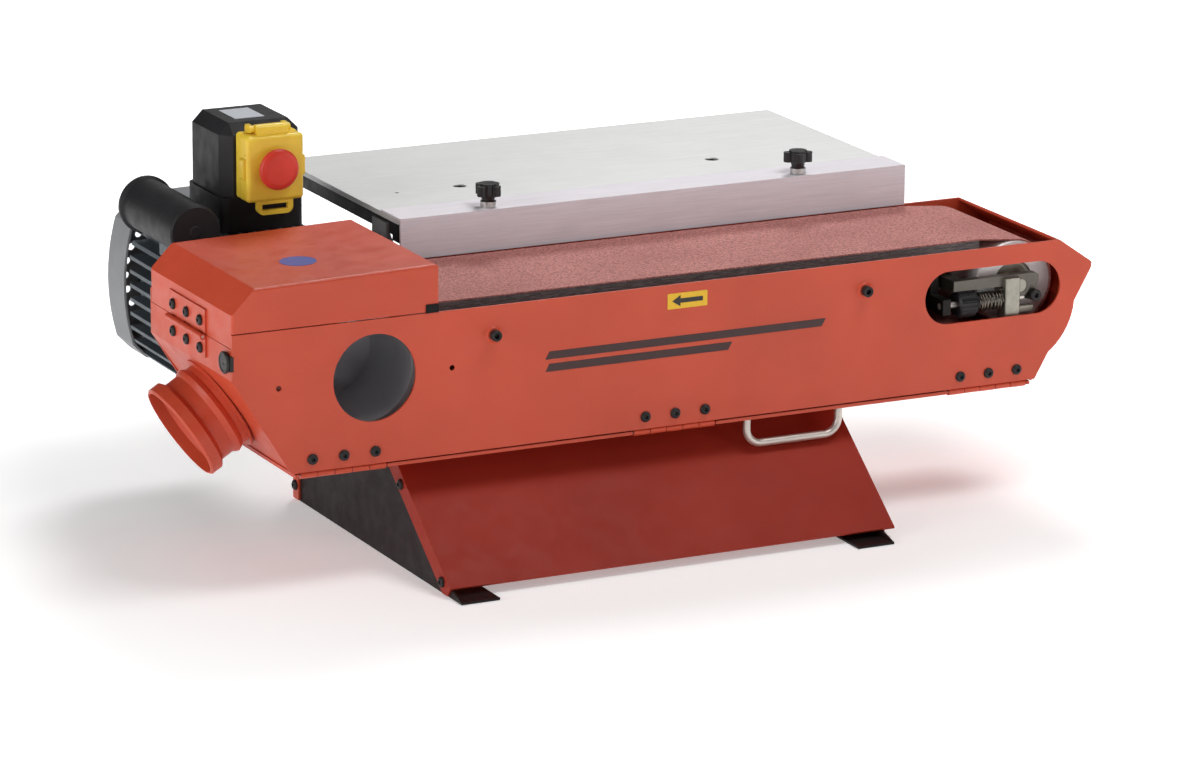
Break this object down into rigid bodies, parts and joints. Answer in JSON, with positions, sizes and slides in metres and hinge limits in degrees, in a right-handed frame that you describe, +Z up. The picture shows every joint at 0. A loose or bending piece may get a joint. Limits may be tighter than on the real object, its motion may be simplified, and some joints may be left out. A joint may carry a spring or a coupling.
{
  "type": "belt grinder",
  "caption": "Bench belt grinder: flat abrasive belt in a folded steel housing, flanged motor, hinged hood and panel, tilting fence table, wedge-shaped stand.",
  "frame": {"origin": "centre of the bounding box on the floor", "axes": "+X along the belt from the drive drum to the tension idler, +Y from the front panel to the motor, +Z up"},
  "size_m": [0.8756, 0.525, 0.357],
  "materials": {
    "red_paint": "semi-gloss powder coat",
    "dark_paint": "textured powder coat",
    "black_steel": "blackened",
    "bare_steel": "machined",
    "abrasive": "coated abrasive grain",
    "graphite": "graphite cloth",
    "rubber_buffer": "matte",
    "drum_metal": "turned",
    "motor_alloy": "painted casting",
    "cowl_paint": "satin",
    "laminations": "dull",
    "black_plastic": "moulded",
    "yellow_plastic": "moulded",
    "red_plastic": "moulded",
    "green_plastic": "moulded",
    "table_alloy": "satin",
    "grey_paint": "satin"
  },
  "bodies": {
    "machine": {"back_panel": "red_paint", "left_end_wall": "red_paint", "right_end_wall": "red_paint", "bottom_plate": "red_paint", "base_front_plate": "red_paint", "base_back_plate": "red_paint", "dust_collar": "red_paint", "fixed_hinge_leaves": "red_paint", "base_sides": "dark_paint", "frame_screws": "black_steel", "hinge_pins": "bare_steel", "platen": "bare_steel", "platen_beam": "bare_steel", "tension_rod": "bare_steel", "tension_spring": "bare_steel", "motor_bearings": "bare_steel", "carry_handle": "bare_steel", "belt": "abrasive", "platen_pad": "graphite", "motor_end_shield": "motor_alloy", "motor_housing": "motor_alloy", "fan_cowl": "cowl_paint", "stator_core": "laminations", "capacitor": "black_plastic", "terminal_box": "black_plastic", "switch_cover": "black_plastic", "cable_gland": "black_plastic", "switch_frame": "yellow_plastic", "table_arms": "grey_paint"},
    "front_panel_body": {"front_panel": "red_paint", "panel_hinge_leaves": "red_paint", "panel_screws": "black_steel", "latch_hook": "black_steel"},
    "latch": {"latch_knob": "black_steel"},
    "hood_body": {"hood": "red_paint", "hood_hinge_leaf": "red_paint", "hood_hinge_screws": "black_steel", "hood_buffer": "rubber_buffer"},
    "drive": {"drive_drum": "drum_metal", "drum_bolt": "bare_steel", "rotor_shaft": "bare_steel", "cooling_fan": "black_plastic"},
    "carriage": {"tension_carriage": "bare_steel", "tracking_block": "bare_steel", "tracking_screw": "black_steel", "idler_axle": "bare_steel"},
    "idler": {"idler_roller": "drum_metal", "idler_bearings": "bare_steel"},
    "tension_nut": {"tension_knob": "black_plastic"},
    "flap": {"switch_flap": "yellow_plastic"},
    "stop": {"stop_mushroom": "red_plastic"},
    "start": {"start_button": "green_plastic"},
    "table": {"table_plate": "table_alloy", "table_rails": "black_plastic", "table_screws": "bare_steel", "tilt_brackets": "grey_paint"},
    "fence": {"fence_profile": "table_alloy"},
    "fence_knob_left": {"profile_knob_left": "black_plastic"},
    "fence_knob_right": {"profile_knob_right": "black_plastic"},
    "tilt_knob": {"tilt_clamp_knob": "black_plastic"}
  },
  "joints": [
    {"name": "panel_hinge", "type": "hinge", "parent": "machine", "child": "front_panel_body", "pos_m": [0.01426, -0.1706, 0.1035], "axis": [1, 0, 0], "range_deg": [0, 110]},
    {"name": "latch_turn", "type": "hinge", "parent": "machine", "child": "latch", "pos_m": [-0.40424, -0.1636, 0.2087], "axis": [1, 0, 0], "range_deg": [0, 180]},
    {"name": "hood_hinge", "type": "hinge", "parent": "machine", "child": "hood_body", "pos_m": [-0.40764, -0.07875, 0.22], "axis": [0, -1, 0], "range_deg": [0, 100]},
    {"name": "drum_spin", "type": "hinge", "parent": "machine", "child": "drive", "pos_m": [-0.27324, -0.0785, 0.1823], "axis": [0, 1, 0], "continuous": true},
    {"name": "tension_slide", "type": "slide", "parent": "machine", "child": "carriage", "axis": [1, 0, 0], "range_m": [-0.004, 0], "deforming": ["tension_spring"]},
    {"name": "idler_spin", "type": "hinge", "parent": "carriage", "child": "idler", "pos_m": [0.36876, -0.0785, 0.192], "axis": [0, 1, 0], "continuous": true},
    {"name": "tension_knob_turn", "type": "hinge", "parent": "machine", "child": "tension_nut", "pos_m": [0.31176, -0.1605, 0.181], "axis": [1, 0, 0], "continuous": true},
    {"name": "flap_hinge", "type": "hinge", "parent": "machine", "child": "flap", "pos_m": [-0.27104, 0.0555, 0.3525], "axis": [-1, 0, 0], "range_deg": [0, 100]},
    {"name": "stop_press", "type": "slide", "parent": "flap", "child": "stop", "axis": [0, 1, 0], "range_m": [0, 0.004], "stiffness_N_per_m": 400, "springref_m": -0.002},
    {"name": "start_press", "type": "slide", "parent": "machine", "child": "start", "axis": [0, 1, 0], "range_m": [0, 0.003], "stiffness_N_per_m": 400, "springref_m": -0.002},
    {"name": "table_tilt", "type": "hinge", "parent": "machine", "child": "table", "pos_m": [0.08276, 0.0415, 0.243], "axis": [1, 0, 0], "range_deg": [-45, 0]},
    {"name": "fence_slide", "type": "slide", "parent": "table", "child": "fence", "axis": [0, 1, 0], "range_m": [-0.005, 0.004]},
    {"name": "fence_knob_left_turn", "type": "hinge", "parent": "table", "child": "fence_knob_left", "pos_m": [-0.08124, 0.0075, 0.285], "axis": [0, 0, 1], "continuous": true},
    {"name": "fence_knob_right_turn", "type": "hinge", "parent": "table", "child": "fence_knob_right", "pos_m": [0.23106, 0.0075, 0.285], "axis": [0, 0, 1], "continuous": true},
    {"name": "tilt_knob_turn", "type": "hinge", "parent": "machine", "child": "tilt_knob", "pos_m": [-0.18424, 0.0415, 0.243], "axis": [1, 0, 0], "continuous": true}
  ],
  "couplings": [
    {"joint": "idler_spin", "follows": "drum_spin", "ratio": 1.3178}
  ]
}
